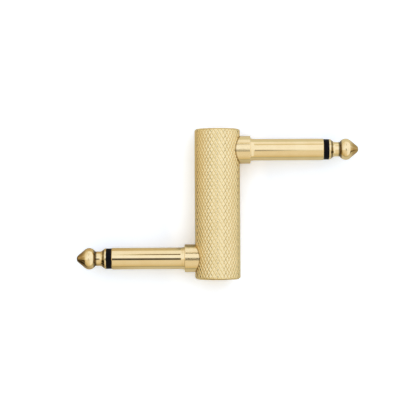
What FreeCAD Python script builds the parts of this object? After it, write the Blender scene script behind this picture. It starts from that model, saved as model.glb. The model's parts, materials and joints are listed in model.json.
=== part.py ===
# Offset pedal coupler: two 6.35 mm mono jack plugs that stand out of opposite sides of one short barrel.
#
# Frame: the origin is the middle of the barrel, on its axis. The barrel lies along Y. The right plug points
# along +X and lies towards +Y, the left plug points along -X and lies towards -Y. Z is up, and both plug
# axes are at Z = 0.
#
# Each plug is drawn once, as the right plug with its axis on X and X measured from the barrel's axis. Its
# pieces are then placed twice: moved half the axis offset along Y, and the same turned half a turn about Z.

import FreeCAD, Part
import Sketcher

import math
import os

OUT = "parts"
SIDES = ("right", "left")
X_AXIS, V_AXIS = "H_Axis", "V_Axis"
SAME = 1e-6

# Driving dimensions in millimetres, apart from the cone's angle in degrees: alias, value, what it is.
DIMENSIONS = (
    ("barrel_dia", 13.3, "over the crests of the grip pattern"),
    ("barrel_bore", 11.1, "inside diameter of the barrel tube"),
    ("barrel_len", 44.0, "barrel, end to end"),
    ("barrel_chamfer", 0.45, "outer edge of each barrel end"),
    ("axis_offset", 31.75, "between the two plug axes, along the barrel"),
    ("cap_thick", 1.6, "end cap"),
    ("cap_recess", 0.2, "end cap's face below the barrel's end"),
    ("cap_chamfer", 0.25, "outer edge of the end cap"),
    ("joint_gap", 0.02, "radial gap of each pressed or soldered joint"),
    ("collar_dia", 8.2, "collar that carries a plug"),
    ("collar_face", 9.75, "barrel axis to the collar's outer face"),
    ("collar_root", 3.6, "barrel axis to the collar's inner face"),
    ("collar_chamfer", 0.2, "outer edge of the collar's face"),
    ("seat_dia", 6.7, "flange of the sleeve, sunk into the collar's face"),
    ("seat_depth", 0.5, "thickness of that flange"),
    ("plug_reach", 41.4, "barrel axis to the nose of the plug"),
    ("sleeve_dia", 6.35, "plug sleeve"),
    ("sleeve_bore", 4.4, "inside diameter of the sleeve"),
    ("sleeve_chamfer", 0.12, "front edge of the sleeve"),
    ("spigot_dia", 5.8, "tail of the sleeve, held in the collar"),
    ("spigot_end", 3.0, "barrel axis to the end of the sleeve's tail"),
    ("ring_dia", 6.0, "visible insulating ring"),
    ("ring_len", 1.6, "visible insulating ring, along the plug"),
    ("ring_front", 8.7, "nose of the plug to the insulating ring"),
    ("ring_tail", 3.0, "part of the insulating ring inside the sleeve"),
    ("tip_nose_rad", 1.4, "ball at the nose"),
    ("tip_cone_angle", 40.0, "half angle of the nose cone"),
    ("tip_bulb_dia", 6.3, "widest part of the tip"),
    ("tip_bulb_end", 4.7, "nose of the plug to the back edge of the bulb, before it is rounded"),
    ("tip_front_rad", 1.9, "rounding from the cone on to the bulb"),
    ("tip_back_rad", 2.1, "rounding at the back edge of the bulb"),
    ("tip_back_angle", 52.0, "slope from the bulb down to the neck, against the axis"),
    ("tip_neck_dia", 4.25, "groove that a jack's spring drops into"),
    ("tip_neck_rad", 0.9, "fillet from the neck up to the foot"),
    ("tip_foot_angle", 38.0, "slope from the neck up to the foot, against the axis"),
    ("tip_foot_end", 8.3, "nose of the plug to the front edge of the foot"),
    ("tip_foot_dia", 6.0, "foot of the tip, against the insulating ring"),
    ("tip_bore_len", 3.6, "how far the centre rod enters the tip"),
    ("rod_dia", 2.36, "centre rod"),
    ("rod_head_dia", 3.8, "riveted head at the rod's inner end"),
    ("rod_head_len", 0.7, "height of the riveted head"),
    ("rod_hole_dia", 2.4, "hole in every piece that the rod goes through"),
    ("tube_dia", 4.3, "insulating tube round the rod"),
    ("washer_dia", 5.6, "insulating washer behind the sleeve"),
    ("washer_thick", 0.8, "flange of the insulating washer"),
    ("washer_boss", 0.6, "boss of the washer, inside the sleeve"),
    ("lug_dia", 5.2, "ring of the solder lug"),
    ("lug_thick", 0.4, "sheet of the solder lug"),
    ("lug_width", 2.6, "tail of the solder lug"),
    ("lug_len", 5.3, "plug axis to the solder hole"),
    ("lug_hole_dia", 1.4, "solder hole"),
    ("wire_dia", 0.8, "bare link wire"),
    ("wire_end", 11.2, "barrel's middle to each end of the wire, along the barrel"),
    ("wire_standoff", 0.1, "wire to the lug, filled with solder"),
    ("wire_bend", 4.3, "barrel's middle to each bend, along the barrel"),
    ("wire_bend_rad", 12.0, "radius of each bend"),
    ("jacket_dia", 1.7, "insulation on the link wire"),
    ("jacket_end", 7.6, "barrel's middle to each end of the insulation"),
    ("solder_dia", 2.3, "solder joint on the lug"),
    ("solder_back", 1.25, "height of the solder over the wire"),
    ("solder_front", 0.2, "height of the solder in front of the lug"),
)


class Size:
    """A length with the sheet expression that gives it, so that one formula makes both."""

    def __init__(self, value, text):
        self.value = value
        self.text = text

    def __add__(self, other):
        other = size(other)
        return Size(self.value + other.value, f"({self.text} + {other.text})")

    def __sub__(self, other):
        other = size(other)
        return Size(self.value - other.value, f"({self.text} - {other.text})")

    def __mul__(self, other):
        other = size(other)
        return Size(self.value * other.value, f"({self.text} * {other.text})")

    def __truediv__(self, other):
        other = size(other)
        return Size(self.value / other.value, f"({self.text} / {other.text})")

    def __neg__(self):
        return Size(-self.value, f"(0 - {self.text})")


def size(number):
    """A plain number as a Size. A Size stays as it is."""
    return number if isinstance(number, Size) else Size(float(number), repr(number))


def sin(degrees):
    return Size(math.sin(math.radians(degrees.value)), f"sin({degrees.text} * 1 deg)")


def cos(degrees):
    return Size(math.cos(math.radians(degrees.value)), f"cos({degrees.text} * 1 deg)")


def root(number):
    return Size(math.sqrt(number.value), f"sqrt({number.text})")


def make_sheet(doc):
    """The sheet of driving dimensions, and each of them as a Size by its alias."""
    sheet = doc.addObject("Spreadsheet::Sheet", "params")
    for row, (alias, value, meaning) in enumerate(DIMENSIONS, start=1):
        sheet.set(f"A{row}", meaning)
        sheet.set(f"B{row}", str(value))
        sheet.setAlias(f"B{row}", alias)
    doc.recompute()
    return {alias: Size(float(sheet.get(alias)), f"params.{alias}") for alias, _, _ in DIMENSIONS}


doc = FreeCAD.newDocument("offset_coupler")
dim = make_sheet(doc)
ZERO = size(0)


# ---- sketches --------------------------------------------------------------------------------------------


def plane_of(body, role):
    """One of the body's own origin planes."""
    return next(feature for feature in body.Origin.OriginFeatures if feature.Role == role)


def new_sketch(body, name, role="XY_Plane"):
    sketch = body.newObject("Sketcher::SketchObject", name)
    sketch.AttachmentSupport = [(plane_of(body, role), "")]
    sketch.MapMode = "FlatFace"
    return sketch


def arc_between(start, end, radius):
    """The short arc from start to end. A positive radius turns clockwise, a negative one anticlockwise.

    A sketch's arc always runs anticlockwise, so the answer also says which of its ends is the start."""
    chord = end - start
    middle = (start + end) * 0.5
    rise = math.sqrt(max(radius * radius - chord.Length**2 / 4, 0.0))
    left_of_chord = FreeCAD.Vector(-chord.y, chord.x, 0).normalize()
    centre = middle - left_of_chord * math.copysign(rise, radius)
    first, last = (end, start) if radius > 0 else (start, end)
    angles = [math.atan2(point.y - centre.y, point.x - centre.x) for point in (first, last)]
    circle = Part.Circle(centre, FreeCAD.Vector(0, 0, 1), abs(radius))
    start_position, end_position = (2, 1) if radius > 0 else (1, 2)
    return Part.ArcOfCircle(circle, *angles), start_position, end_position


def tie(sketch, constraint, formula):
    """Adds a dimension to the sketch and binds it to the sheet."""
    number = sketch.addConstraint(constraint)
    sketch.setExpression(f"Constraints[{number}]", formula.text)


def pin_point(sketch, edge, position, across, up):
    """Fixes one end of an edge at its two distances from the sketch's origin."""
    on_origin, h_axis, v_axis = (-1, 1), -1, -2
    for kind, distance, axis in (("DistanceX", across, v_axis), ("DistanceY", up, h_axis)):
        if abs(distance.value) < SAME:
            sketch.addConstraint(Sketcher.Constraint("PointOnObject", edge, position, axis))
        else:
            tie(sketch, Sketcher.Constraint(kind, *on_origin, edge, position, distance.value), distance)


def draw(sketch, corners, closed=True):
    """Lines through the corners, each (across, up) or (across, up, radius of the arc that leaves it)."""
    points = [FreeCAD.Vector(corner[0].value, corner[1].value, 0) for corner in corners]
    last = len(corners) if closed else len(corners) - 1
    ends = []
    for i in range(last):
        start, end = points[i], points[(i + 1) % len(points)]
        radius = corners[i][2] if len(corners[i]) > 2 else None
        if radius is None:
            edge, start_position, end_position = Part.LineSegment(start, end), 1, 2
        else:
            edge, start_position, end_position = arc_between(start, end, radius.value)
        number = sketch.addGeometry(edge, False)
        ends.append((number, start_position, end_position))
        if radius is not None:
            bound = radius if radius.value > 0 else -radius
            tie(sketch, Sketcher.Constraint("Radius", number, bound.value), bound)
    for (edge, _, end_position), (following, start_position, _) in zip(ends, ends[1:] + ends[:1]):
        if closed or edge != ends[-1][0]:
            meeting = Sketcher.Constraint("Coincident", edge, end_position, following, start_position)
            sketch.addConstraint(meeting)
    for (edge, start_position, _), corner in zip(ends, corners):
        pin_point(sketch, edge, start_position, corner[0], corner[1])
    if not closed:
        pin_point(sketch, ends[-1][0], ends[-1][2], corners[-1][0], corners[-1][1])
    return sketch


def dome_radius(base, height):
    """Radius of the sphere whose cap is this high on a base of this radius."""
    return (base * base + height * height) / (height * 2)


def ring_outline(start, end, inner, outer):
    """The half section of a plain tube or disc about the X axis."""
    return [(start, inner), (end, inner), (end, outer), (start, outer)]


# ---- bodies and their places -----------------------------------------------------------------------------


PLUG_AXIS = dim["axis_offset"] / 2


def place(item, side, along=PLUG_AXIS):
    """Puts a plug piece on its side of the barrel, with its distance from the middle bound to the sheet."""
    turn = 0 if side == "right" else 180
    shift = along if side == "right" else -along
    item.Placement = FreeCAD.Placement(
        FreeCAD.Vector(0, shift.value, 0), FreeCAD.Rotation(FreeCAD.Vector(0, 0, 1), turn)
    )
    item.setExpression("Placement.Base.y", shift.text)


def turned(name, outline, axis=X_AXIS, side=None, along=PLUG_AXIS):
    """A body turned from a half section, as on a lathe. Plug pieces are named for their side."""
    label = f"{side}_{name}" if side else name
    body = doc.addObject("PartDesign::Body", label)
    body.Label = label
    sketch = draw(new_sketch(body, f"{label}_section"), outline)
    revolution = body.newObject("PartDesign::Revolution", f"{label}_turned")
    revolution.Profile = sketch
    revolution.ReferenceAxis = (sketch, [axis])
    revolution.Angle = 360
    if side:
        place(body, side, along)
    doc.recompute()
    return body


def round_edge(body, along, radius, rounding):
    """Rounds the edge that is turned at this distance along the axis and at this radius."""
    base = body.Tip
    number = next(
        number
        for number, edge in enumerate(base.Shape.Edges, start=1)
        if not edge.Degenerated
        and isinstance(edge.Curve, Part.Circle)
        and abs(edge.Curve.Radius - radius.value) < SAME
        and abs(edge.Curve.Center.x - along.value) < SAME
    )
    fillet = body.newObject("PartDesign::Fillet", f"{body.Label}_rounding")
    fillet.Base = (base, [f"Edge{number}"])
    fillet.setExpression("Radius", rounding.text)
    doc.recompute()


# ---- the barrel ------------------------------------------------------------------------------------------


def side_hole(body, side):
    """Cuts the round hole for one collar through one wall of the barrel."""
    radius = dim["collar_dia"] / 2 + dim["joint_gap"]
    up = PLUG_AXIS if side == "right" else -PLUG_AXIS
    sketch = new_sketch(body, f"{side}_hole_circle", "YZ_Plane")
    circle = Part.Circle(FreeCAD.Vector(up.value, 0, 0), FreeCAD.Vector(0, 0, 1), radius.value)
    edge = sketch.addGeometry(circle, False)
    tie(sketch, Sketcher.Constraint("Radius", edge, radius.value), radius)
    pin_point(sketch, edge, 3, up, ZERO)
    before = body.Shape.Volume
    pocket = body.newObject("PartDesign::Pocket", f"{side}_hole")
    pocket.Profile = sketch
    pocket.Type = "Length"
    pocket.Length = dim["barrel_dia"].value
    pocket.setExpression("Length", dim["barrel_dia"].text)
    pocket.Reversed = side == "right"
    doc.recompute()
    if body.Shape.Volume >= before:
        raise RuntimeError(f"the {side} hole cut nothing")


def make_barrel():
    """Tube with a chamfer at each outer end, and one hole on each side."""
    outer, inner = dim["barrel_dia"] / 2, dim["barrel_bore"] / 2
    end, edge = dim["barrel_len"] / 2, dim["barrel_chamfer"]
    outline = [
        (inner, -end),
        (outer - edge, -end),
        (outer, edge - end),
        (outer, end - edge),
        (outer - edge, end),
        (inner, end),
    ]
    barrel = turned("barrel", outline, V_AXIS)
    for side in SIDES:
        side_hole(barrel, side)
    return barrel


def make_end_cap(label, direction):
    """Disc pressed into one end of the barrel: direction is 1 at +Y and -1 at -Y."""
    radius = dim["barrel_bore"] / 2 - dim["joint_gap"]
    face = dim["barrel_len"] / 2 - dim["cap_recess"]
    edge = dim["cap_chamfer"]
    heights = (face - dim["cap_thick"], face - edge, face)
    back, shoulder, front = (height * direction for height in heights)
    outline = [(ZERO, back), (radius, back), (radius, shoulder), (radius - edge, front), (ZERO, front)]
    return turned(label, outline, V_AXIS)


# ---- the plug --------------------------------------------------------------------------------------------

SLEEVE_FRONT = dim["plug_reach"] - dim["ring_front"] - dim["ring_len"]
RING_FACE = dim["plug_reach"] - dim["ring_front"]
SEAT = dim["collar_face"] - dim["seat_depth"]
SPIGOT_RADIUS = dim["spigot_dia"] / 2
BORE_RADIUS = dim["sleeve_bore"] / 2
ROD_HOLE = dim["rod_hole_dia"] / 2
FIT_IN_BORE = BORE_RADIUS - dim["joint_gap"]
TUBE_FRONT = SLEEVE_FRONT - dim["ring_tail"]
LUG_FRONT = dim["spigot_end"] - dim["washer_thick"]
LUG_BACK = LUG_FRONT - dim["lug_thick"]


def make_collar(side):
    """Bush through the barrel's wall. The sleeve's flange is flush in its face, which meets the jack."""
    outer, edge, face = dim["collar_dia"] / 2, dim["collar_chamfer"], dim["collar_face"]
    bore = SPIGOT_RADIUS + dim["joint_gap"]
    counterbore = dim["seat_dia"] / 2 + dim["joint_gap"]
    outline = [
        (dim["collar_root"], bore),
        (SEAT, bore),
        (SEAT, counterbore),
        (face, counterbore),
        (face, outer - edge),
        (face - edge, outer),
        (dim["collar_root"], outer),
    ]
    return turned("collar", outline, side=side)


def make_sleeve(side):
    """Ground contact: a tube with a flange seated in the collar and a tail that goes through it."""
    outer, edge, face = dim["sleeve_dia"] / 2, dim["sleeve_chamfer"], dim["collar_face"]
    flange = dim["seat_dia"] / 2
    outline = [
        (dim["spigot_end"], BORE_RADIUS),
        (SLEEVE_FRONT, BORE_RADIUS),
        (SLEEVE_FRONT, outer - edge),
        (SLEEVE_FRONT - edge, outer),
        (face, outer),
        (face, flange),
        (SEAT, flange),
        (SEAT, SPIGOT_RADIUS),
        (dim["spigot_end"], SPIGOT_RADIUS),
    ]
    return turned("plug_sleeve", outline, side=side)


def make_ring(side):
    """Insulator between the tip and the sleeve, with a tail inside the sleeve."""
    outline = [
        (TUBE_FRONT, ROD_HOLE),
        (RING_FACE, ROD_HOLE),
        (RING_FACE, dim["ring_dia"] / 2),
        (SLEEVE_FRONT, dim["ring_dia"] / 2),
        (SLEEVE_FRONT, FIT_IN_BORE),
        (TUBE_FRONT, FIT_IN_BORE),
    ]
    return turned("tip_insulator", outline, side=side)


def make_tip(side):
    """Signal contact: rounded nose cone, bulb, neck and foot, bored for the centre rod."""
    reach, nose, angle = dim["plug_reach"], dim["tip_nose_rad"], dim["tip_cone_angle"]
    bulb, neck, foot = dim["tip_bulb_dia"] / 2, dim["tip_neck_dia"] / 2, dim["tip_foot_dia"] / 2
    # The nose's ball meets the cone where both lean at the cone's angle.
    cone_start = (reach - nose + nose * sin(angle), nose * cos(angle))
    bulb_start = cone_start[0] - (bulb - cone_start[1]) * cos(angle) / sin(angle)
    bulb_end = reach - dim["tip_bulb_end"]
    back, slope = dim["tip_back_angle"], dim["tip_foot_angle"]
    neck_start = bulb_end - (bulb - neck) * cos(back) / sin(back)
    foot_end = reach - dim["tip_foot_end"]
    neck_end = foot_end + (foot - neck) * cos(slope) / sin(slope)
    bore_end = RING_FACE + dim["tip_bore_len"]
    outline = [
        (reach, ZERO, -nose),
        cone_start,
        (bulb_start, bulb),
        (bulb_end, bulb),
        (neck_start, neck),
        (neck_end, neck),
        (foot_end, foot),
        (RING_FACE, foot),
        (RING_FACE, ROD_HOLE),
        (bore_end, ROD_HOLE),
        (bore_end, ZERO),
    ]
    tip = turned("plug_tip", outline, side=side)
    round_edge(tip, bulb_start, bulb, dim["tip_front_rad"])
    round_edge(tip, bulb_end, bulb, dim["tip_back_rad"])
    round_edge(tip, neck_end, neck, dim["tip_neck_rad"])
    return tip


def make_rod(side):
    """Carries the tip's signal through the sleeve. Its riveted head holds the lug and the plug together."""
    radius, head = dim["rod_dia"] / 2, dim["rod_head_dia"] / 2
    end = RING_FACE + dim["tip_bore_len"] - dim["joint_gap"]
    outline = [
        (LUG_BACK - dim["rod_head_len"], ZERO, dome_radius(head, dim["rod_head_len"])),
        (LUG_BACK, head),
        (LUG_BACK, radius),
        (end, radius),
        (end, ZERO),
    ]
    return turned("centre_rod", outline, side=side)


def make_tube(side):
    """Insulating tube round the rod, from the rear washer's boss to the ring's tail."""
    start = dim["spigot_end"] + dim["washer_boss"]
    outline = ring_outline(start, TUBE_FRONT, ROD_HOLE, dim["tube_dia"] / 2)
    return turned("insulating_tube", outline, side=side)


def make_washer(side):
    """Shoulder washer that keeps the lug clear of the sleeve."""
    boss_end = dim["spigot_end"] + dim["washer_boss"]
    outline = [
        (LUG_FRONT, ROD_HOLE),
        (boss_end, ROD_HOLE),
        (boss_end, FIT_IN_BORE),
        (dim["spigot_end"], FIT_IN_BORE),
        (dim["spigot_end"], dim["washer_dia"] / 2),
        (LUG_FRONT, dim["washer_dia"] / 2),
    ]
    return turned("rear_insulator", outline, side=side)


def lug_outline():
    """The lug's flat pattern, Y up from the barrel's axis: a ring with a tail to the barrel's middle."""
    ring, half = dim["lug_dia"] / 2, dim["lug_width"] / 2
    shoulder = -root(ring * ring - half * half)
    tail = -dim["lug_len"]
    long_arc_middle = (ZERO, ring)
    return [
        (half, tail),
        (half, shoulder, -ring),
        (ring, ZERO, -ring),
        (*long_arc_middle, -ring),
        (-ring, ZERO, -ring),
        (-half, shoulder),
        (-half, tail, -half),
        (ZERO, tail - half, -half),
    ]


def make_lug(side):
    """Sheet metal tag under the rod's head, with the link wire's solder hole in its tail."""
    label = f"{side}_solder_lug"
    body = doc.addObject("PartDesign::Body", label)
    body.Label = label
    sketch = new_sketch(body, f"{label}_blank", "YZ_Plane")
    # The YZ plane's first axis is Y and its second is Z, so the pattern is drawn a quarter turn round.
    draw(sketch, [(corner[1], -corner[0], *corner[2:]) for corner in lug_outline()])
    for diameter, along in ((dim["rod_hole_dia"], ZERO), (dim["lug_hole_dia"], -dim["lug_len"])):
        circle = Part.Circle(FreeCAD.Vector(along.value, 0, 0), FreeCAD.Vector(0, 0, 1), diameter.value / 2)
        edge = sketch.addGeometry(circle, False)
        tie(sketch, Sketcher.Constraint("Radius", edge, diameter.value / 2), diameter / 2)
        pin_point(sketch, edge, 3, along, ZERO)
    sketch.AttachmentOffset = FreeCAD.Placement(FreeCAD.Vector(0, 0, LUG_BACK.value), FreeCAD.Rotation())
    sketch.setExpression("AttachmentOffset.Base.z", LUG_BACK.text)
    pad = body.newObject("PartDesign::Pad", f"{label}_sheet")
    pad.Profile = sketch
    pad.Length = dim["lug_thick"].value
    pad.setExpression("Length", dim["lug_thick"].text)
    place(body, side)
    doc.recompute()
    return body


# ---- the link wire ---------------------------------------------------------------------------------------

WIRE_CENTRE = LUG_BACK - dim["wire_dia"] / 2 - dim["wire_standoff"]


def wire_path(label, end):
    """Spine of the link wire: from lug to lug, with a bend of wire_bend_rad at each side of the middle."""
    slope = root(WIRE_CENTRE * WIRE_CENTRE + dim["wire_bend"] * dim["wire_bend"])
    across, along = WIRE_CENTRE / slope, dim["wire_bend"] / slope
    # tan(turn / 2) = sin(turn) / (1 + cos(turn)), where turn is the sloping run's angle from the axis.
    tangent = dim["wire_bend_rad"] * across / (along + 1)
    corner_up = dim["wire_bend"]
    bend_start = (WIRE_CENTRE, corner_up + tangent)
    bend_end = (WIRE_CENTRE - tangent * across, corner_up - tangent * along)
    path = doc.addObject("Sketcher::SketchObject", f"{label}_path")
    corners = [
        (WIRE_CENTRE, end),
        (*bend_start, dim["wire_bend_rad"]),
        bend_end,
        (-bend_end[0], -bend_end[1], -dim["wire_bend_rad"]),
        (-bend_start[0], -bend_start[1]),
        (-WIRE_CENTRE, -end),
    ]
    return draw(path, corners, closed=False)


def swept(label, diameter, end):
    """A round section swept along the wire's path."""
    path = wire_path(label, end)
    circle = doc.addObject("Part::Circle", f"{label}_section")
    circle.setExpression("Radius", (diameter / 2).text)
    circle.Placement = FreeCAD.Placement(
        FreeCAD.Vector(WIRE_CENTRE.value, end.value, 0), FreeCAD.Rotation(FreeCAD.Vector(1, 0, 0), 90)
    )
    circle.setExpression("Placement.Base.x", WIRE_CENTRE.text)
    circle.setExpression("Placement.Base.y", end.text)
    doc.recompute()
    sweep = doc.addObject("Part::Sweep", label)
    sweep.Sections = [circle]
    sweep.Spine = (path, [f"Edge{n + 1}" for n in range(len(path.Shape.Edges))])
    sweep.Solid = True
    sweep.Frenet = False
    sweep.Label = label
    doc.recompute()
    return sweep


def make_wire():
    """Bare link wire from one lug to the other."""
    return swept("link_wire", dim["wire_dia"], dim["wire_end"])


def make_jacket():
    """Insulation on the middle of the link wire."""
    outside = swept("jacket_outside", dim["jacket_dia"], dim["jacket_end"])
    bore = swept("jacket_bore", dim["wire_dia"] + dim["joint_gap"], dim["jacket_end"] + dim["joint_gap"])
    jacket = doc.addObject("Part::Cut", "wire_insulation")
    jacket.Base = outside
    jacket.Tool = bore
    jacket.Label = "wire_insulation"
    doc.recompute()
    return jacket


def make_solder(side, wire):
    """Solder on the lug's back, over the wire's end and through the lug's hole to a low head in front."""
    wide, hole = dim["solder_dia"] / 2, dim["lug_hole_dia"] / 2
    back, front = dim["solder_back"], dim["solder_front"]
    outline = [
        (LUG_BACK - back, ZERO, dome_radius(wide, back)),
        (LUG_BACK, wide),
        (LUG_BACK, hole),
        (LUG_FRONT, hole),
        (LUG_FRONT, wide, dome_radius(wide, front)),
        (LUG_FRONT + front, ZERO),
    ]
    drop = turned("solder_drop", outline, side=side, along=PLUG_AXIS - dim["lug_len"])
    joint = doc.addObject("Part::Cut", f"{side}_solder_joint")
    joint.Base = drop
    joint.Tool = wire
    joint.Label = f"{side}_solder_joint"
    doc.recompute()
    return joint


# ---- the assembly ----------------------------------------------------------------------------------------


def make_plug(side, wire):
    """Every piece of one plug, from the collar in."""
    return [
        make_collar(side),
        make_sleeve(side),
        make_ring(side),
        make_tip(side),
        make_rod(side),
        make_tube(side),
        make_washer(side),
        make_lug(side),
        make_solder(side, wire),
    ]


def check(pieces):
    """Stops if any object failed to compute or any piece is not a valid solid."""
    for item in doc.Objects:
        if "Invalid" in item.State or "Error" in item.State:
            raise RuntimeError(f"{item.Label} failed to compute: {item.State}")
    for piece in pieces:
        shape = piece.Shape
        if shape.isNull() or not shape.isValid() or not shape.Solids:
            raise RuntimeError(f"{piece.Label} is not a valid solid")


def export(pieces):
    os.makedirs(OUT, exist_ok=True)
    for piece in pieces:
        piece.Shape.exportStep(os.path.join(OUT, f"{piece.Label}.step"))
        print(f"{piece.Label}: {piece.Shape.Volume:.2f} mm3, {len(piece.Shape.Solids)} solid")


link_wire = make_wire()
everything = [
    make_barrel(),
    make_end_cap("rear_end_cap", 1),
    make_end_cap("front_end_cap", -1),
    link_wire,
    make_jacket(),
]
for plug_side in SIDES:
    everything += make_plug(plug_side, link_wire)
doc.recompute()
check(everything)
export(everything)
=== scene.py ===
import json
import math

import bmesh
import bpy
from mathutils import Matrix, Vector


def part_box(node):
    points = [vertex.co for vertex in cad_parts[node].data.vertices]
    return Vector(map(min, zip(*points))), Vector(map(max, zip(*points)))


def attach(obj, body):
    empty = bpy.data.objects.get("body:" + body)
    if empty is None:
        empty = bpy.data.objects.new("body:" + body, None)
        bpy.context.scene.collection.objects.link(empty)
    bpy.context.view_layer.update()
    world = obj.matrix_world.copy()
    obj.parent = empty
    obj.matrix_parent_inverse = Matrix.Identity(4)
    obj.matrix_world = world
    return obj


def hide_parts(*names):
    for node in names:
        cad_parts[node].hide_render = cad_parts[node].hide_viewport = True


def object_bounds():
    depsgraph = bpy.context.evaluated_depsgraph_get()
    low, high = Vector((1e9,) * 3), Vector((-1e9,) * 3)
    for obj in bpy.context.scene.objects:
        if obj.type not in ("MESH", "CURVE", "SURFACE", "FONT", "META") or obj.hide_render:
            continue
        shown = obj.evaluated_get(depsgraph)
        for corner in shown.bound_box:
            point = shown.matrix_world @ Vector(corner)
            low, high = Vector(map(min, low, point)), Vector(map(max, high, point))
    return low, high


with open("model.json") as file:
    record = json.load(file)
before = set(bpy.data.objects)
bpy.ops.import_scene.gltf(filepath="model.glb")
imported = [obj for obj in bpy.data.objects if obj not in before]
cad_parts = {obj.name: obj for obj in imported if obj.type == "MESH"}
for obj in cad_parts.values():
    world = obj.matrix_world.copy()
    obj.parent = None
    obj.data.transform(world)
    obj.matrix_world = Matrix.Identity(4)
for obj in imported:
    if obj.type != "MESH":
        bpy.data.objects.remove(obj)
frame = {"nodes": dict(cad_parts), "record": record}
CAD_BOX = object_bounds()

# The looks of the offset plug coupler: a knurled barrel with a jack plug out of each side, all gold plated.
# Lengths are in metres unless a name says otherwise. MM turns millimetres into metres.
# A plug is drawn once, with its axis on X and X measured from the barrel's axis. It is then set on its side
# of the barrel.

MM = 0.001
SIDES = {"right": 1, "left": -1}
ROUND = 192  # steps round a turned piece
ARC_STEP = 5  # degrees from one point of a rounding to the next
TURNED_EDGE = math.radians(28)  # an edge of a turned piece that bends more than this looks sharp
SAME = 0.0001 * MM  # two points that are nearer than this are one


def corner_of(node, which):
    """One corner of a CAD node's box: 0 the lowest, 1 the highest."""
    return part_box(node)[which]


BARREL_RADIUS = corner_of("barrel", 1).x
BARREL_END = corner_of("barrel", 1).y
PLUG_AXIS = (corner_of("right_plug_sleeve", 0).y + corner_of("right_plug_sleeve", 1).y) / 2
COLLAR_ROOT = corner_of("right_collar", 0).x
COLLAR_FACE = corner_of("right_collar", 1).x
COLLAR_RADIUS = corner_of("right_collar", 1).z
SLEEVE_FRONT = corner_of("right_plug_sleeve", 1).x
NOSE = corner_of("right_plug_tip", 1).x
FLOOR_Z = CAD_BOX[0].z


# ---- meshes --------------------------------------------------------------------------------------------


def add_object(name, mesh):
    item = bpy.data.objects.new(name, mesh)
    bpy.context.scene.collection.objects.link(item)
    return item


def rounded(outline):
    """An outline's corners as points. A corner (along, radius, rounding) becomes an arc of that rounding."""
    points = []
    for index, corner in enumerate(outline):
        here = Vector(corner[:2])
        rounding = corner[2] if len(corner) > 2 else 0
        if not rounding:
            points.append(here)
            continue
        before = (Vector(outline[index - 1][:2]) - here).normalized()
        after = (Vector(outline[(index + 1) % len(outline)][:2]) - here).normalized()
        half_angle = before.angle(after) / 2
        centre = here + (before + after).normalized() * (rounding / math.sin(half_angle))
        start = here + before * (rounding / math.tan(half_angle)) - centre
        end = here + after * (rounding / math.tan(half_angle)) - centre
        sweep = start.angle_signed(end)
        steps = max(3, round(abs(math.degrees(sweep)) / ARC_STEP))
        for step in range(steps + 1):
            turn = -sweep * step / steps
            across = Vector((start.x * math.cos(turn) - start.y * math.sin(turn),
                             start.x * math.sin(turn) + start.y * math.cos(turn)))
            points.append(centre + across)
    return points


def lathe(name, outline):
    """A closed solid turned round the X axis from corners (along, radius) or (along, radius, rounding)."""
    mesh = bpy.data.meshes.new(name)
    bm = bmesh.new()
    rings = []
    corners = rounded(outline)
    # A rounding that runs right up to the next point ends on it, and only one of the two is kept.
    apart = [point for point, last in zip(corners, corners[-1:] + corners) if (point - last).length > SAME]
    for point in apart:
        if point.y < SAME:
            rings.append([bm.verts.new((point.x, 0, 0))])
            continue
        ring = []
        for step in range(ROUND):
            angle = 2 * math.pi * step / ROUND
            ring.append(bm.verts.new((point.x, point.y * math.cos(angle), point.y * math.sin(angle))))
        rings.append(ring)
    for first, second in zip(rings, rings[1:] + rings[:1]):
        for step in range(ROUND):
            loop = [
                first[step % len(first)],
                first[(step + 1) % len(first)],
                second[(step + 1) % len(second)],
                second[step % len(second)],
            ]
            distinct = list(dict.fromkeys(loop))
            if len(distinct) > 2:
                bm.faces.new(distinct)
    bmesh.ops.recalc_face_normals(bm, faces=bm.faces)
    bm.to_mesh(mesh)
    bm.free()
    mesh.shade_smooth()
    mesh.set_sharp_from_angle(angle=TURNED_EDGE)
    return add_object(name, mesh)


def straighten(item):
    """Lets a long wall shade as straight as it is, while the roundings at its ends take up the turn."""
    item.modifiers.new("straight_walls", "WEIGHTED_NORMAL").keep_sharp = True
    return item


def set_on_side(item, side):
    """Moves a plug piece to its side of the barrel, in its mesh, so that its object stays at the origin."""
    sign = SIDES[side]
    for vertex in item.data.vertices:
        x, y, z = vertex.co
        vertex.co = (x * sign, (y + PLUG_AXIS) * sign, z)
    return item


def finish_piece(item, node, material):
    """Gives a piece its material, sets it under the root body and hides the CAD node that it stands for."""
    item.data.materials.clear()
    item.data.materials.append(material)
    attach(item, "root")
    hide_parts(node)
    return item


# ---- the barrel ----------------------------------------------------------------------------------------

KNURL_STARTS = 36  # grooves of each slant, counted round the barrel
KNURL_LEAD = 1.98 * MM  # along the barrel, from one groove to the next of the same slant
KNURL_STEPS = 10  # mesh steps from groove to groove
KNURL_DEPTH = 0.1 * MM
KNURL_LAND = 2  # steps from a groove's bottom to the flat top of a diamond
KNURL_EDGE = math.radians(30)  # a groove's bottom bends more and looks sharp, a diamond's edge bends less
BARREL_CHAMFER = 0.45 * MM
CAP_RADIUS = corner_of("rear_end_cap", 1).x
BARREL_BORE = CAP_RADIUS + 0.02 * MM
COLLAR_GAP = 0.12 * MM  # between a collar and the edge of its hole


def steps_from_groove(count):
    """How many mesh steps from the nearest groove of one slant."""
    past = count % KNURL_STEPS
    return min(past, KNURL_STEPS - past)


def knurl_radius(column, row, y):
    """The barrel's radius where a column and a row of the mesh cross."""
    nearest = min(steps_from_groove(column + row), steps_from_groove(column - row), KNURL_LAND)
    radius = BARREL_RADIUS - KNURL_DEPTH * (1 - nearest / KNURL_LAND)
    past_chamfer = abs(y) - (BARREL_END - BARREL_CHAMFER)
    return min(radius, BARREL_RADIUS - max(0, past_chamfer))


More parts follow.
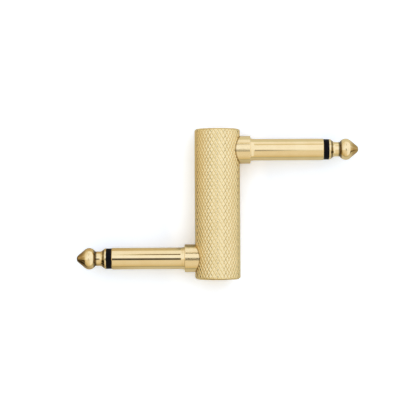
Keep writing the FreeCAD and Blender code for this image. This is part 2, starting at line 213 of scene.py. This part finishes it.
def around_barrel(bm, columns, y, radius_at):
    """A ring of vertices round the barrel at y."""
    ring = []
    for column in range(columns):
        angle = 2 * math.pi * column / columns
        radius = radius_at(column)
        ring.append(bm.verts.new((radius * math.sin(angle), y, radius * math.cos(angle))))
    return ring


def drilled(item, radius):
    """Cuts the right collar's hole. By a known fault, the left collar's is only marked in the wall."""
    past_wall = BARREL_RADIUS * 1.2
    outline = [(0, 0), (0, radius), (past_wall, radius), (past_wall, 0)]
    for side, sign in SIDES.items():
        cutter = set_on_side(lathe(f"{side}_cutter", outline), side)
        # Known fault: the left cutter is turned half a turn, not mirrored, so this makes it inside out. Its
        # cut leaves the wall in place, and the left collar runs through it.
        if sign < 0:
            cutter.data.flip_normals()
        cut = item.modifiers.new(f"{side}_hole", "BOOLEAN")
        cut.operation = "DIFFERENCE"
        cut.solver = "EXACT"
        cut.object = cutter
        bpy.context.view_layer.update()
        seen = item.evaluated_get(bpy.context.evaluated_depsgraph_get())
        item.data = bpy.data.meshes.new_from_object(seen)
        item.modifiers.clear()
        bpy.data.objects.remove(cutter)
    return item


def make_barrel():
    """Tube knurled with crossed grooves from end to end. Its diamonds have flat tops, like rolled ones."""
    columns = KNURL_STARTS * KNURL_STEPS
    rows = round(2 * BARREL_END / KNURL_LEAD * KNURL_STEPS)
    mesh = bpy.data.meshes.new("knurled_barrel")
    bm = bmesh.new()
    grid = []
    for row in range(rows + 1):
        y = BARREL_END * (2 * row / rows - 1)
        grid.append(around_barrel(bm, columns, y, lambda column: knurl_radius(column, row, y)))
    for row in range(rows):
        for column in range(columns):
            beside = (column + 1) % columns
            low, low_beside = grid[row][column], grid[row][beside]
            high, high_beside = grid[row + 1][column], grid[row + 1][beside]
            # A triangle's long edge runs along the nearer groove, so that every crease stays straight.
            if steps_from_groove(column + row + 1) < steps_from_groove(column - row):
                bm.faces.new((low, low_beside, high))
                bm.faces.new((low_beside, high_beside, high))
            else:
                bm.faces.new((low, low_beside, high_beside))
                bm.faces.new((low, high_beside, high))
    bore = [around_barrel(bm, columns, y, lambda column: BARREL_BORE) for y in (-BARREL_END, BARREL_END)]
    for outer, inner in ((grid[0], bore[0]), (bore[0], bore[1]), (bore[1], grid[-1])):
        for column in range(columns):
            beside = (column + 1) % columns
            bm.faces.new((outer[column], outer[beside], inner[beside], inner[column]))
    bmesh.ops.recalc_face_normals(bm, faces=bm.faces)
    bm.to_mesh(mesh)
    bm.free()
    barrel = drilled(add_object("knurled_barrel", mesh), COLLAR_RADIUS + COLLAR_GAP)
    barrel.data.shade_smooth()
    barrel.data.set_sharp_from_angle(angle=KNURL_EDGE)
    return barrel


def make_cap(node, direction):
    """Disc pressed into an end of the barrel, with a fine groove round its face and a centre mark."""
    low, high = (corner_of(node, which).y * direction for which in (0, 1))
    inner, outer = min(low, high), max(low, high)
    edge, groove, centre, soft = 0.2 * MM, 0.12 * MM, 0.3 * MM, 0.05 * MM
    groove_radius = CAP_RADIUS * 0.82
    outline = [
        (inner, 0),
        (inner, CAP_RADIUS),
        (outer, CAP_RADIUS, edge),
        (outer, groove_radius + groove),
        (outer - groove, groove_radius, soft),
        (outer, groove_radius - groove),
        (outer, centre, soft),
        (outer - centre, 0),
    ]
    cap = lathe(f"{node}_disc", outline)
    for vertex in cap.data.vertices:
        x, y, z = vertex.co
        vertex.co = (-y * direction, x * direction, z)
    return cap


# ---- the plugs -----------------------------------------------------------------------------------------

SLEEVE_RADIUS = frame["record"]["mounts"][0]["dims"]["r_mm"] * MM
SLEEVE_BACK = corner_of("right_plug_sleeve", 0).x
FLANGE_RADIUS = corner_of("right_plug_sleeve", 1).z
SEAT = COLLAR_FACE - 0.5 * MM  # the step in a collar that its sleeve's flange lies on
SPIGOT_RADIUS = 2.9 * MM  # the sleeve behind its flange
SLEEVE_BORE = 2.2 * MM
FIT = 0.02 * MM  # play between two pieces, on the radius
RING_FACE = corner_of("right_tip_insulator", 1).x
RING_BACK = corner_of("right_tip_insulator", 0).x
RING_RADIUS = 3.0 * MM
ROD_HOLE = 1.2 * MM


def make_collar(side):
    """Bush through the barrel's wall, turned all over, with the sleeve's flange flush in its face."""
    outline = [
        (COLLAR_ROOT, SPIGOT_RADIUS + FIT),
        (SEAT, SPIGOT_RADIUS + FIT),
        (SEAT, FLANGE_RADIUS + FIT),
        (COLLAR_FACE, FLANGE_RADIUS + FIT, 0.06 * MM),
        (COLLAR_FACE, COLLAR_RADIUS, 0.25 * MM),
        (COLLAR_ROOT, COLLAR_RADIUS, 0.1 * MM),
    ]
    return set_on_side(lathe(f"{side}_turned_collar", outline), side)


def make_sleeve(side):
    """Ground contact: a polished tube that flares into its flange, with a small chamfer by the ring."""
    flare, chamfer = 0.9 * MM, 0.16 * MM
    outline = [
        (SLEEVE_BACK, SLEEVE_BORE),
        (SLEEVE_FRONT, SLEEVE_BORE),
        (SLEEVE_FRONT, SLEEVE_RADIUS - chamfer),
        (SLEEVE_FRONT - chamfer, SLEEVE_RADIUS, 0.05 * MM),
        (COLLAR_FACE + flare, SLEEVE_RADIUS, 3.0 * MM),
        (COLLAR_FACE, FLANGE_RADIUS),
        (SEAT, FLANGE_RADIUS),
        (SEAT, SPIGOT_RADIUS),
        (SLEEVE_BACK, SPIGOT_RADIUS, 0.1 * MM),
    ]
    return set_on_side(lathe(f"{side}_polished_sleeve", outline), side)


def make_ring(side):
    """Black insulator between sleeve and tip, with soft moulded edges and a tail inside the sleeve."""
    soft = 0.08 * MM
    outline = [
        (RING_BACK, ROD_HOLE),
        (RING_FACE, ROD_HOLE),
        (RING_FACE, RING_RADIUS, soft),
        (SLEEVE_FRONT, RING_RADIUS, soft),
        (SLEEVE_FRONT, SLEEVE_BORE - FIT),
        (RING_BACK, SLEEVE_BORE - FIT),
    ]
    return set_on_side(lathe(f"{side}_black_ring", outline), side)


def make_tip(side):
    """Signal contact: ball nose, cone, bulb, waisted neck and foot."""
    nose = 1.4 * MM
    bulb = corner_of("right_plug_tip", 1).z
    neck = 2.125 * MM
    foot = 3.0 * MM
    cone, bulb_back, foot_front = (math.radians(slope) for slope in (40, 52, 38))
    bulb_end, foot_end, hole_end = NOSE - 4.7 * MM, NOSE - 8.3 * MM, RING_FACE + 3.6 * MM
    # The nose's ball touches the end plane and the cone, so it is that corner's rounding.
    corner = nose * math.tan((math.pi / 2 - cone) / 2)
    outline = [
        (NOSE, 0),
        (NOSE, corner, nose),
        (NOSE - (bulb - corner) / math.tan(cone), bulb, 1.9 * MM),
        (bulb_end, bulb, 2.1 * MM),
        (bulb_end - (bulb - neck) / math.tan(bulb_back), neck, 0.08 * MM),
        (foot_end + (foot - neck) / math.tan(foot_front), neck, 0.9 * MM),
        (foot_end, foot, 0.12 * MM),
        (RING_FACE, foot, 0.06 * MM),
        (RING_FACE, ROD_HOLE),
        (hole_end, ROD_HOLE),
        (hole_end, 0),
    ]
    return set_on_side(lathe(f"{side}_contact_tip", outline), side)


# ---- materials -----------------------------------------------------------------------------------------


WHITE = (1.0, 1.0, 1.0)


class Wiring:
    """Adds nodes to a material or the world and joins them up."""

    def __init__(self, owner):
        owner.use_nodes = True
        self.nodes = owner.node_tree.nodes
        self.links = owner.node_tree.links

    def feed(self, socket, value):
        """Links a socket to a node's output, or sets it to a plain value."""
        if isinstance(value, bpy.types.NodeSocket):
            self.links.new(value, socket)
        else:
            socket.default_value = value

    def math(self, operation, *values):
        node = self.nodes.new("ShaderNodeMath")
        node.operation = operation
        for socket, value in zip(node.inputs, values):
            self.feed(socket, value)
        return node.outputs[0]

    def rise(self, value, low, high, start=0.0, end=1.0):
        """Goes smoothly from start to end as value goes from low to high, and stays at both beyond them."""
        node = self.nodes.new("ShaderNodeMapRange")
        node.interpolation_type = "SMOOTHSTEP"
        for name, number in (("Value", value), ("From Min", low), ("From Max", high),
                             ("To Min", start), ("To Max", end)):
            self.feed(node.inputs[name], number)
        return node.outputs["Result"]

    def noise(self, where, scale, detail=2.0):
        """Noise of 0 to 1 in space, or along a line where it is given a number."""
        node = self.nodes.new("ShaderNodeTexNoise")
        along_line = where.type == "VALUE"
        node.noise_dimensions = "1D" if along_line else "3D"
        self.feed(node.inputs["W" if along_line else "Vector"], where)
        self.feed(node.inputs["Scale"], scale)
        self.feed(node.inputs["Detail"], detail)
        return node.outputs["Fac"]

    def ramp(self, value, stops):
        """A colour for each value: stops are (value, colour)."""
        node = self.nodes.new("ShaderNodeValToRGB")
        elements = node.color_ramp.elements
        while len(elements) < len(stops):
            elements.new(0.5)
        for element, (position, colour) in zip(elements, stops):
            element.position = position
            element.color = (*colour, 1)
        self.feed(node.inputs["Fac"], value)
        return node.outputs["Color"]

    def product(self, first, second):
        """One colour multiplied by another."""
        node = self.nodes.new("ShaderNodeMix")
        node.data_type = "RGBA"
        node.blend_type = "MULTIPLY"
        self.feed(node.inputs["Factor"], 1.0)
        colour_inputs = [socket for socket in node.inputs if socket.type == "RGBA"]
        for socket, value in zip(colour_inputs, (first, second)):
            self.feed(socket, value)
        return next(socket for socket in node.outputs if socket.type == "RGBA")

    def tinted(self, colour, share, tint):
        """A colour multiplied by tint where share is 1, and as it is where share is 0."""
        return self.product(colour, self.ramp(share, [(0.0, WHITE), (1.0, tint)]))

    def bump(self, height, distance, strength=1.0, onto=None):
        """A normal with height's relief. distance is its depth in metres."""
        node = self.nodes.new("ShaderNodeBump")
        self.feed(node.inputs["Height"], height)
        self.feed(node.inputs["Distance"], distance)
        self.feed(node.inputs["Strength"], strength)
        if onto:
            self.feed(node.inputs["Normal"], onto)
        return node.outputs["Normal"]

    def where(self):
        """The object's own coordinates."""
        return self.nodes.new("ShaderNodeTexCoord").outputs["Object"]

    def apart(self, vector):
        """The x, y and z of a vector."""
        node = self.nodes.new("ShaderNodeSeparateXYZ")
        self.feed(node.inputs[0], vector)
        return node.outputs

    def distance(self, first, second):
        """How far a point is from an axis, from its two offsets across it."""
        return self.math("SQRT", self.math("ADD", self.math("MULTIPLY", first, first),
                                           self.math("MULTIPLY", second, second)))

    def patch(self, measures, middles, halves):
        """1 inside a soft-edged box and 0 outside. Each measure has its own middle and half width."""
        inside = []
        for measure, middle, half in zip(measures, middles, halves):
            off = self.math("ABSOLUTE", self.math("SUBTRACT", measure, middle))
            inside.append(self.rise(off, half * 0.6, half * 1.4, start=1.0, end=0.0))
        return self.math("MULTIPLY", *inside)


def new_material(name, metallic=0.0, **fixed):
    """A material with its plain settings made: fixed holds more of them by name, such as coat_weight.

    Returns its wiring and its shader's inputs too.
    """
    made = bpy.data.materials.new(name)
    wiring = Wiring(made)
    inputs = wiring.nodes["Principled BSDF"].inputs
    inputs["Metallic"].default_value = metallic
    for setting, value in fixed.items():
        inputs[setting.replace("_", " ").title().replace("Ior", "IOR")].default_value = value
    return made, wiring, inputs


TOOL_PITCH = 0.12 * MM
SHADE_TINT = (1.0, 0.85, 0.6)  # painted shade takes more of the green and the blue than of the red


def turned_metal(name, dark, light, roughness, marks, axis="plug", painted_shades=()):
    """Plated metal off the lathe. marks is the depth of the tool's rings, which run round the axis.

    The painted shades are places darkened with painted shade: (measure, place, half width, what is left of
    the colour). The place is how far out along the plug or, where measure is "round", how far from the
    barrel's axis.
    """
    made, wiring, inputs = new_material(name, metallic=1.0)
    where = wiring.where()
    x, y, z = wiring.apart(where)
    if axis == "plug":
        off_axis = wiring.math("SUBTRACT", wiring.math("ABSOLUTE", y), PLUG_AXIS)
        along, radius = x, wiring.distance(off_axis, z)
    else:
        along, radius = y, wiring.distance(x, z)
    # Along a wall the rings follow one another by their place on the axis, and on a face by their radius.
    rings = wiring.noise(wiring.math("ADD", along, radius), 1 / TOOL_PITCH, detail=3.0)
    clouds = wiring.noise(where, 1 / (4 * MM), detail=4.0)
    fine = wiring.noise(where, 1 / (0.6 * MM), detail=3.0)
    colour = wiring.ramp(clouds, [(0.3, dark), (0.7, light)])
    # Each band of painted shade darkens the colour near its place.
    for measure, place, half_width, left in painted_shades:
        outward = wiring.math("ABSOLUTE", along) if measure == "along" else wiring.distance(x, z)
        off = wiring.math("ABSOLUTE", wiring.math("SUBTRACT", outward, place))
        shaded = tuple(left * part for part in SHADE_TINT)
        unshaded_share = wiring.rise(off, half_width * 0.4, half_width * 1.6)
        colour = wiring.product(colour, wiring.ramp(unshaded_share, [(0.0, shaded), (1.0, WHITE)]))
    wiring.feed(inputs["Base Color"], colour)
    wiring.feed(inputs["Roughness"], wiring.rise(fine, 0.25, 0.75, roughness * 0.8, roughness * 1.25))
    wavy = wiring.bump(clouds, 0.002 * MM, strength=0.5)
    wiring.feed(inputs["Normal"], wiring.bump(rings, marks, onto=wavy))
    return made


def knurled_gold():
    """The barrel's plating: satin on the diamonds' tops, shinier down in the grooves, and darker and warmer
    there, partly tarnish and partly painted shade.
    """
    made, wiring, inputs = new_material("knurled_gold", metallic=1.0)
    where = wiring.where()
    x, _, z = wiring.apart(where)
    radius = wiring.distance(x, z)
    height = wiring.rise(radius, BARREL_RADIUS - KNURL_DEPTH, BARREL_RADIUS - 0.1 * KNURL_DEPTH)
    clouds = wiring.noise(where, 1 / (3 * MM), detail=4.0)
    grain = wiring.noise(where, 1 / (0.25 * MM), detail=3.0)
    # Darker and warmer down in the grooves: tarnish there, and painted shade.
    groove_tarnish_and_shade = wiring.ramp(height, [
        (0.0, (0.9, 0.62, 0.22)),
        (0.5, (1.0, 0.745, 0.33)),
        (1.0, (1.0, 0.755, 0.35)),
    ])
    tarnish = wiring.ramp(clouds, [(0.3, (0.95, 0.94, 0.9)), (0.7, WHITE)])
    wiring.feed(inputs["Base Color"], wiring.product(groove_tarnish_and_shade, tarnish))
    satin = wiring.rise(height, 0.6, 1.0, start=0.07, end=0.24)
    uneven = wiring.rise(grain, 0.25, 0.75, start=0.85, end=1.15)
    wiring.feed(inputs["Roughness"], wiring.math("MULTIPLY", satin, uneven))
    wiring.feed(inputs["Normal"], wiring.bump(grain, 0.004 * MM, strength=0.6))
    return made


def moulded(name, dark, light, roughness, grain=0.004 * MM, **fixed):
    """Plastic or enamel with a faint uneven skin."""
    made, wiring, inputs = new_material(name, **fixed)
    where = wiring.where()
    clouds = wiring.noise(where, 1 / (1.5 * MM), detail=3.0)
    fine = wiring.noise(where, 1 / (0.2 * MM), detail=3.0)
    wiring.feed(inputs["Base Color"], wiring.ramp(clouds, [(0.3, dark), (0.7, light)]))
    wiring.feed(inputs["Roughness"], wiring.rise(clouds, 0.25, 0.75, roughness * 0.8, roughness * 1.2))
    wiring.feed(inputs["Normal"], wiring.bump(fine, grain, strength=0.7))
    return made


def rough_metal(name, dark, light, roughness, cloud_size, grain):
    """Bare, tinned or soldered metal, with cloudy tarnish and a fine grain."""
    made, wiring, inputs = new_material(name, metallic=1.0)
    where = wiring.where()
    clouds = wiring.noise(where, 1 / cloud_size, detail=5.0)
    fine = wiring.noise(where, 1 / (0.15 * MM), detail=4.0)
    wiring.feed(inputs["Base Color"], wiring.ramp(clouds, [(0.3, dark), (0.7, light)]))
    wiring.feed(inputs["Roughness"], wiring.rise(clouds, 0.3, 0.7, roughness * 0.8, roughness * 1.3))
    wiring.feed(inputs["Normal"], wiring.bump(fine, grain, strength=0.8))
    return made


GOLD_DARK = (0.97, 0.69, 0.3)
GOLD = (1.0, 0.735, 0.34)

finishes = {
    "barrel": knurled_gold(),
    "end_cap": turned_metal("faced_gold", GOLD_DARK, GOLD, roughness=0.2, marks=0.0012 * MM, axis="barrel"),
    "collar": turned_metal("turned_gold", GOLD_DARK, GOLD, roughness=0.13, marks=0.0006 * MM, painted_shades=[
        ("round", BARREL_RADIUS, 0.2 * MM, 0.5),  # painted shade where it comes out of the barrel
    ]),
    "sleeve": turned_metal("polished_gold", GOLD_DARK, GOLD, roughness=0.07, marks=0.0002 * MM),
    "tip": turned_metal("tip_gold", GOLD_DARK, GOLD, roughness=0.09, marks=0.0003 * MM, painted_shades=[
        ("along", NOSE - 5.45 * MM, 0.42 * MM, 0.15),  # painted shade behind the bulb
        ("along", NOSE - 7.85 * MM, 0.28 * MM, 0.25),  # painted shade in front of the foot
        ("along", NOSE - 0.9 * MM, 1.3 * MM, 0.55),  # painted shade on the nose
    ]),
    "tip_ring": moulded("black_ring", (0.003, 0.0025, 0.0025), (0.008, 0.006, 0.006), roughness=0.3,
                        specular_ior_level=0.05),
    "rod": turned_metal("drawn_brass", (0.72, 0.53, 0.26), (0.82, 0.63, 0.33), roughness=0.28,
                        marks=0.001 * MM),
    "inner_tube": moulded("natural_tube", (0.72, 0.68, 0.58), (0.82, 0.79, 0.7), roughness=0.45,
                          coat_weight=0.1),
    "washer": moulded("fibre_washer", (0.02, 0.02, 0.021), (0.05, 0.048, 0.045), roughness=0.6,
                      grain=0.01 * MM),
    "lug": rough_metal("tinned_lug", (0.55, 0.55, 0.53), (0.78, 0.78, 0.76), roughness=0.3,
                       cloud_size=1.2 * MM, grain=0.004 * MM),
    "solder": rough_metal("tin_solder", (0.5, 0.51, 0.53), (0.74, 0.75, 0.76), roughness=0.25,
                          cloud_size=0.5 * MM, grain=0.012 * MM),
    "wire": rough_metal("copper_wire", (0.72, 0.36, 0.2), (0.86, 0.5, 0.32), roughness=0.3,
                        cloud_size=0.8 * MM, grain=0.004 * MM),
    "wire_jacket": moulded("red_jacket", (0.36, 0.02, 0.015), (0.5, 0.04, 0.03), roughness=0.4,
                           grain=0.006 * MM),
}


# ---- the assembly --------------------------------------------------------------------------------------

finish_piece(make_barrel(), "barrel", finishes["barrel"])
for cap_node, facing in (("rear_end_cap", 1), ("front_end_cap", -1)):
    finish_piece(straighten(make_cap(cap_node, facing)), cap_node, finishes["end_cap"])
for side in SIDES:
    finish_piece(straighten(make_collar(side)), f"{side}_collar", finishes["collar"])
    finish_piece(straighten(make_sleeve(side)), f"{side}_plug_sleeve", finishes["sleeve"])
    finish_piece(straighten(make_ring(side)), f"{side}_tip_insulator", finishes["tip_ring"])
    finish_piece(straighten(make_tip(side)), f"{side}_plug_tip", finishes["tip"])

# The parts inside keep their CAD shapes.
inner_parts = {"wire": ["link_wire"], "wire_jacket": ["wire_insulation"]}
for part, slot in (("centre_rod", "rod"), ("insulating_tube", "inner_tube"), ("rear_insulator", "washer"),
                   ("solder_lug", "lug"), ("solder_joint", "solder")):
    inner_parts[slot] = [f"{side}_{part}" for side in SIDES]
for slot, nodes in inner_parts.items():
    for node in nodes:
        for material_slot in frame["nodes"][node].material_slots:
            material_slot.material = finishes[slot]


# ---- floor, light and camera ---------------------------------------------------------------------------


def pale_table():
    """The table's two looks: burnt out to white when the camera sees it, duller when metal mirrors it."""
    made, wiring, _ = new_material("pale_floor")
    where = wiring.where()
    x, y, _ = wiring.apart(where)
    clouds = wiring.noise(where, 1 / (50 * MM))
    burnt_out = wiring.ramp(clouds, [(0.3, (1.34, 1.29, 1.09)), (0.7, (1.37, 1.32, 1.12))])
    duller = wiring.ramp(clouds, [(0.3, (0.71, 0.69, 0.56)), (0.7, (0.73, 0.71, 0.58))])

    # The barrel throws a little more light on the table beside it.
    glow = wiring.patch((wiring.math("ABSOLUTE", x), y), (9 * MM, 0.0), (5 * MM, 24 * MM))
    burnt_out = wiring.tinted(burnt_out, glow, (1.11, 1.1, 1.08))

    # The mirrored table is warmer on the left, with painted light: brighter behind the object and darker in
    # front. Beside the barrel it has a painted shadow, and it is darker where a dark cloth lies far to the
    # left.
    behind_left_plug = wiring.patch((x, y), (-28 * MM, 14 * MM), (14 * MM, 14 * MM))
    duller = wiring.tinted(duller, behind_left_plug, (0.96, 0.82, 0.62))
    far_left = wiring.rise(x, -42 * MM, -20 * MM, start=1.0, end=0.0)
    duller = wiring.tinted(duller, far_left, (0.88, 0.76, 0.62))
    in_front = wiring.rise(y, -110 * MM, -30 * MM, start=0.65, end=1.0)
    behind = wiring.rise(y, -10 * MM, 30 * MM, start=1.0, end=1.12)
    cloth = wiring.patch((x, y), (-115 * MM, -42 * MM), (66 * MM, 36 * MM))
    cloth = wiring.math("MULTIPLY", cloth, 0.97)
    painted_shadow_by_barrel = wiring.patch((x, y), (-9 * MM, 7 * MM), (3 * MM, 16 * MM))
    painted_shadow_by_barrel = wiring.math("MULTIPLY", painted_shadow_by_barrel, 0.4)
    lit = wiring.math("SUBTRACT", 1.0, wiring.math("MAXIMUM", cloth, painted_shadow_by_barrel))
    for share in (in_front, behind):
        lit = wiring.math("MULTIPLY", lit, share)
    mirrored = wiring.nodes.new("ShaderNodeVectorMath")
    mirrored.operation = "SCALE"
    wiring.feed(mirrored.inputs[0], duller)
    wiring.feed(mirrored.inputs["Scale"], lit)

    either = wiring.nodes.new("ShaderNodeMixShader")
    wiring.feed(either.inputs["Fac"], wiring.nodes.new("ShaderNodeLightPath").outputs["Is Camera Ray"])
    for socket, colour in zip(either.inputs[1:], (mirrored.outputs[0], burnt_out)):
        look = wiring.nodes.new("ShaderNodeBsdfDiffuse")
        wiring.feed(look.inputs["Color"], colour)
        wiring.feed(socket, look.outputs[0])
    wiring.feed(wiring.nodes["Material Output"].inputs["Surface"], either.outputs[0])
    return made


def make_floor():
    """A wide table top under the object."""
    reach = 3.0
    ground = ((-reach, -reach), (reach, -reach), (reach, reach), (-reach, reach))
    mesh = bpy.data.meshes.new("floor")
    mesh.from_pydata([(x, y, FLOOR_Z) for x, y in ground], [], [(0, 1, 2, 3)])
    mesh.materials.append(pale_table())
    floor = add_object("floor", mesh)


# Gear that the metal mirrors, as soft-edged boxes in the sky, each with its middle and its half widths.
# Things overhead are measured in degrees from straight up, to the right and to the back.
ARM = ((-1.0, 44.0), (2.7, 6.5))
STRUT = ((8.0, 55.0), (6.0, 6.0))
LENS = ((-2.6, -5.0), (3.0, 10.0))
LENS_RIM = ((1.9, -11.0), (1.3, 6.5))
# Things by the horizon are measured in the y and z of a direction, so each stands on the left and the right.
FRONT_STANDS = ((-0.33, 0.08), (0.18, 0.12))
SIDE_STANDS = ((0.0, 0.14), (0.26, 0.1))


def sky_light(wiring, direction, to_right, to_back):
    """How light the sky is, without the gear in front of it."""
    x, y, z = direction
    # From front to back. On the right the key light reaches further forward.
    forward = wiring.math("ADD", to_back, wiring.rise(to_right, -1.0, 5.0, start=0.0, end=14.0))
    front = wiring.rise(to_back, -100.0, -45.0, start=0.16, end=0.53)
    front = wiring.math("MULTIPLY", front, wiring.rise(x, 0.2, 0.6, start=1.1, end=1.4))
    back = wiring.rise(forward, -6.0, 16.0, start=0.0, end=0.45)
    back_fall = wiring.rise(to_back, 30.0, 65.0, start=1.0, end=0.85)
    light = wiring.math("MULTIPLY", wiring.math("ADD", front, back), back_fall)

    # The left is even apart from a dark front. The right is even and bright, most of all towards the back.
    dark_front = wiring.math("MULTIPLY", wiring.rise(y, -0.2, -0.05, start=1.0, end=0.0),
                             wiring.rise(z, 0.15, 0.8, start=0.68, end=0.4))
    on_left = wiring.math("MULTIPLY", wiring.math("SUBTRACT", 1.0, dark_front),
                          wiring.rise(z, 0.25, 0.9, start=0.63, end=0.97))
    on_right = wiring.rise(y, 0.03, 0.22, start=0.9, end=1.1)
    left_share = wiring.rise(x, -0.35, -0.12, start=1.0, end=0.0)
    right_share = wiring.math("MULTIPLY", wiring.rise(x, 0.12, 0.35), wiring.rise(z, 0.1, 0.35))
    for side, share in ((on_left, left_share), (on_right, right_share)):
        rest = wiring.math("MULTIPLY", light, wiring.math("SUBTRACT", 1.0, share))
        light = wiring.math("ADD", rest, wiring.math("MULTIPLY", side, share))
    return light


def make_sky():
    """A soft studio dome. Its cool key light is behind the object, and dark gear stands in front of it."""
    world = bpy.data.worlds.new("studio")
    bpy.context.scene.world = world
    wiring = Wiring(world)
    direction = wiring.apart(wiring.nodes.new("ShaderNodeTexCoord").outputs["Generated"])
    x, y, z = direction
    up = wiring.math("MAXIMUM", z, 0.0001)
    to_right = wiring.math("DEGREES", wiring.math("ARCTAN2", x, up))
    to_back = wiring.math("DEGREES", wiring.math("ARCTAN2", y, up))
    light = sky_light(wiring, direction, to_right, to_back)

    front_stands = wiring.patch((y, z), *FRONT_STANDS)
    side_stands = wiring.math("MULTIPLY", wiring.patch((y, z), *SIDE_STANDS), 0.65)
    stands = wiring.math("MAXIMUM", front_stands, side_stands)
    stands = wiring.math("MULTIPLY", stands, wiring.rise(x, -0.3, 0.3, start=1.0, end=0.9))
    light = wiring.math("MULTIPLY", light, wiring.math("SUBTRACT", 1.0, stands))
    for gear, darkness in ((ARM, 0.95), (STRUT, 0.5)):
        shade = wiring.math("MULTIPLY", wiring.patch((to_right, to_back), *gear), darkness)
        light = wiring.math("SUBTRACT", light, shade)
    sky = wiring.ramp(light, [
        (0.0, (0.06, 0.045, 0.02)),
        (0.25, (0.62, 0.6, 0.5)),
        (0.5, (0.75, 0.745, 0.76)),
        (0.75, (0.84, 0.93, 1.14)),
        (1.0, (0.96, 1.12, 1.6)),
    ])

    lens = wiring.patch((to_right, to_back), *LENS)
    rim = wiring.math("MULTIPLY", wiring.patch((to_right, to_back), *LENS_RIM), 0.6)
    covered = wiring.math("MULTIPLY", wiring.math("MAXIMUM", lens, rim), 0.93)
    background = wiring.nodes["Background"]
    wiring.feed(background.inputs["Color"], sky)
    wiring.feed(background.inputs["Strength"], wiring.math("SUBTRACT", 1.0, covered))


def make_camera():
    """Looks straight down, with the object a little right of and below the middle of the picture."""
    camera = bpy.data.objects.new("camera", bpy.data.cameras.new("camera"))
    camera.data.lens = 138.0
    camera.data.sensor_width = 36.0
    camera.data.clip_start = 0.01
    height = 450.0 * MM
    camera.location = (-5.13 * MM, 1.2 * MM, height)
    camera.rotation_euler = (0.0, 0.0, math.radians(-0.3))
    bpy.context.scene.collection.objects.link(camera)
    bpy.context.scene.camera = camera


make_floor()
make_sky()
make_camera()
bpy.context.scene.view_settings.view_transform = "Standard"
